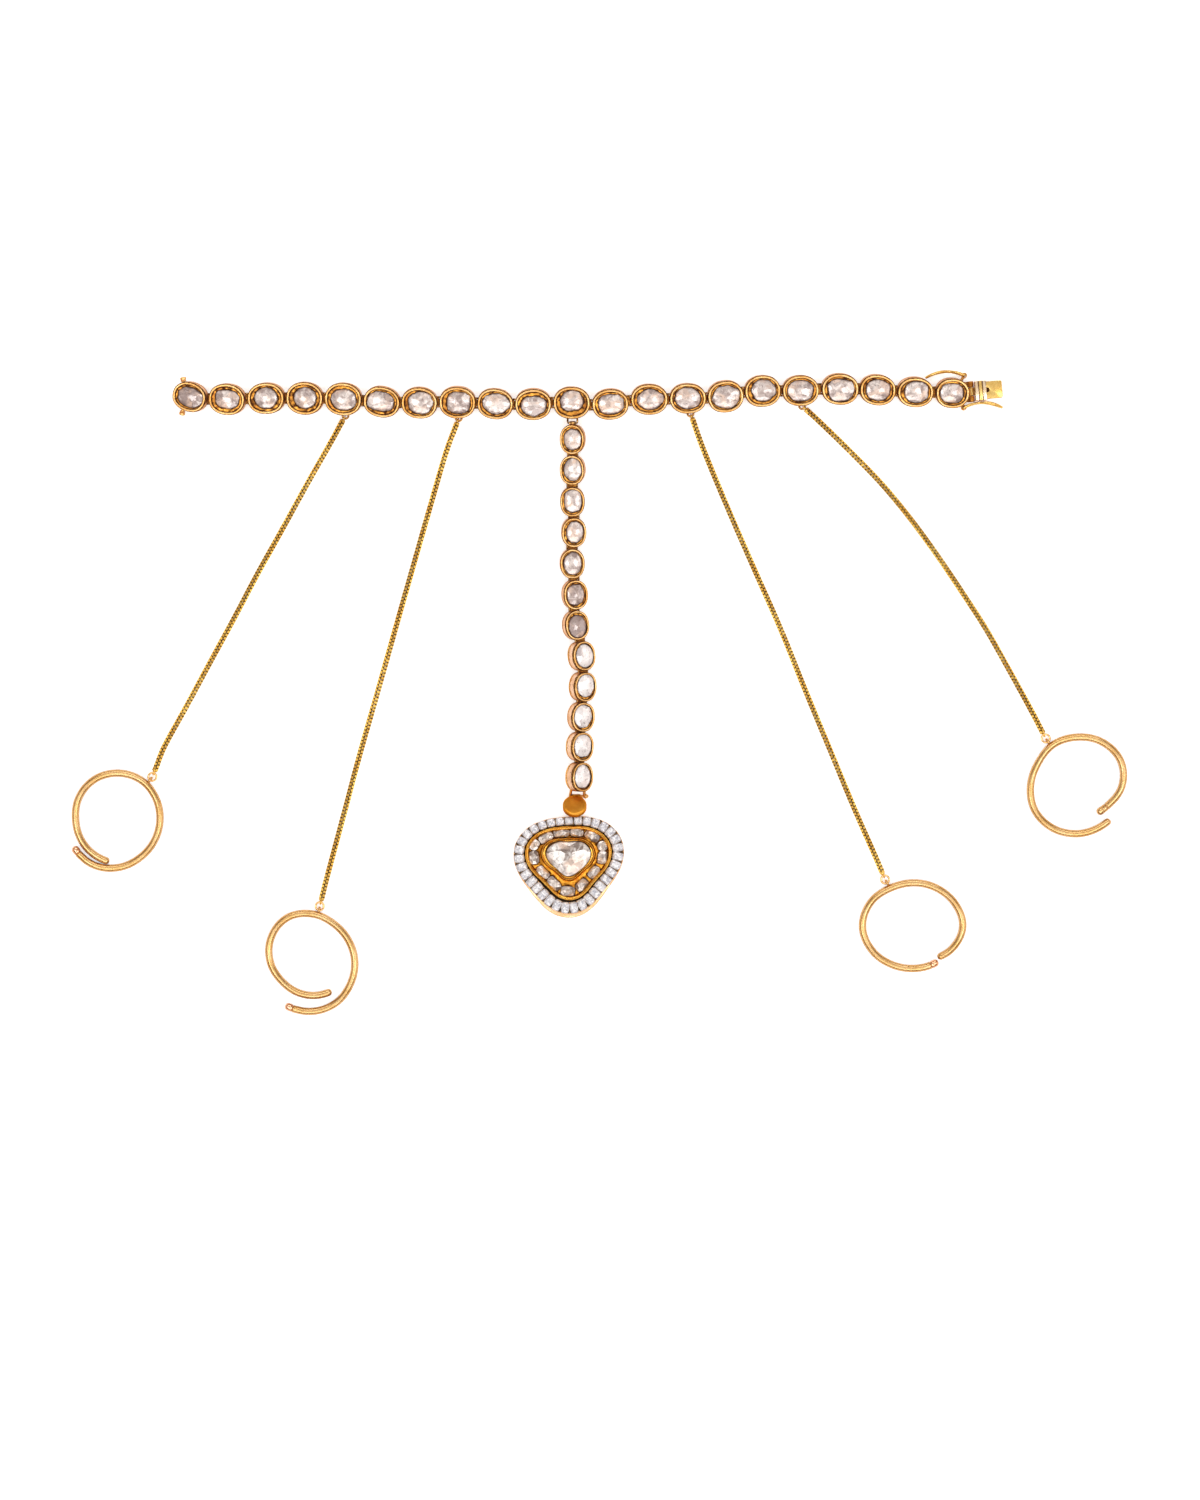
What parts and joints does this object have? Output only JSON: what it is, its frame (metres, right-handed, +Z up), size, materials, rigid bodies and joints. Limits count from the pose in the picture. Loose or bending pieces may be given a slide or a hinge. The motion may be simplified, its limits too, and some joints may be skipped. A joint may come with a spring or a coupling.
{
  "type": "hand harness bracelet",
  "caption": "Gold hand harness of flat diamonds: a hinged bracelet with a centre strand and lobed pendant, box chains and open finger rings.",
  "frame": {"origin": "on the table under the middle of the whole piece as it lies spread out", "axes": "+X along the bracelet towards its clasp, +Y from the pendant towards the bracelet, +Z up from the table"},
  "size_m": [0.2169, 0.1325, 0.0055],
  "materials": {
    "cup_gold": "polished yellow gold with brown oxide in the grooves",
    "frame_gold": "polished peach gold with dark oxide between the rows",
    "bail_gold": "satin amber gold",
    "chain_gold": "bright yellow gold",
    "ring_gold": "polished peach gold",
    "clasp_gold": "satin yellow gold",
    "polki_diamond": "polished natural faces over foil",
    "centre_diamond": "polished natural faces over foil",
    "brilliant_diamond": "brilliant cut, polished"
  },
  "bodies": {
    "harness": {"bracelet_link_01": "cup_gold", "bracelet_link_02": "cup_gold", "bracelet_link_03": "cup_gold", "bracelet_link_04": "cup_gold", "bracelet_link_05": "cup_gold", "bracelet_link_06": "cup_gold", "bracelet_link_07": "cup_gold", "bracelet_link_08": "cup_gold", "bracelet_link_09": "cup_gold", "bracelet_link_10": "cup_gold", "bracelet_link_11": "cup_gold", "bracelet_link_12": "cup_gold", "bracelet_link_13": "cup_gold", "bracelet_link_14": "cup_gold", "bracelet_link_15": "cup_gold", "bracelet_link_16": "cup_gold", "bracelet_link_17": "cup_gold", "bracelet_link_18": "cup_gold", "bracelet_link_19": "cup_gold", "bracelet_link_20": "cup_gold", "bracelet_link_21": "cup_gold", "bracelet_stones": "polki_diamond", "strand_link_01": "cup_gold", "strand_link_02": "cup_gold", "strand_link_03": "cup_gold", "strand_link_04": "cup_gold", "strand_link_05": "cup_gold", "strand_link_06": "cup_gold", "strand_link_07": "cup_gold", "strand_link_08": "cup_gold", "strand_link_09": "cup_gold", "strand_link_10": "cup_gold", "strand_link_11": "cup_gold", "strand_link_12": "cup_gold", "strand_stones": "polki_diamond", "pendant_bail": "bail_gold", "pendant_frame": "frame_gold", "pendant_centre_stone": "centre_diamond", "pendant_inner_stones": "polki_diamond", "pendant_halo_stones": "brilliant_diamond", "chain_1": "chain_gold", "chain_2": "chain_gold", "chain_3": "chain_gold", "chain_4": "chain_gold", "jump_ring_1": "chain_gold", "jump_ring_2": "chain_gold", "jump_ring_3": "chain_gold", "jump_ring_4": "chain_gold", "finger_ring_1": "ring_gold", "finger_ring_2": "ring_gold", "finger_ring_3": "ring_gold", "finger_ring_4": "ring_gold"},
    "clasp": {"clasp_tongue": "clasp_gold"},
    "catch_upper": {"catch_upper": "clasp_gold"},
    "catch_lower": {"catch_lower": "clasp_gold"}
  },
  "joints": [
    {"name": "clasp_swing", "type": "hinge", "parent": "harness", "child": "clasp", "pos_m": [0.0762, 0.0618, 0.0013], "axis": [0.0872, -0.9962, 0], "range_deg": [0, 50]},
    {"name": "catch_upper_swing", "type": "hinge", "parent": "harness", "child": "catch_upper", "pos_m": [0.0748, 0.0651, 0.0015], "axis": [0, 0, 1], "range_deg": [-180, 0]},
    {"name": "catch_lower_swing", "type": "hinge", "parent": "harness", "child": "catch_lower", "pos_m": [0.0747, 0.0585, 0.0015], "axis": [0, 0, 1], "range_deg": [-180, 0]}
  ]
}
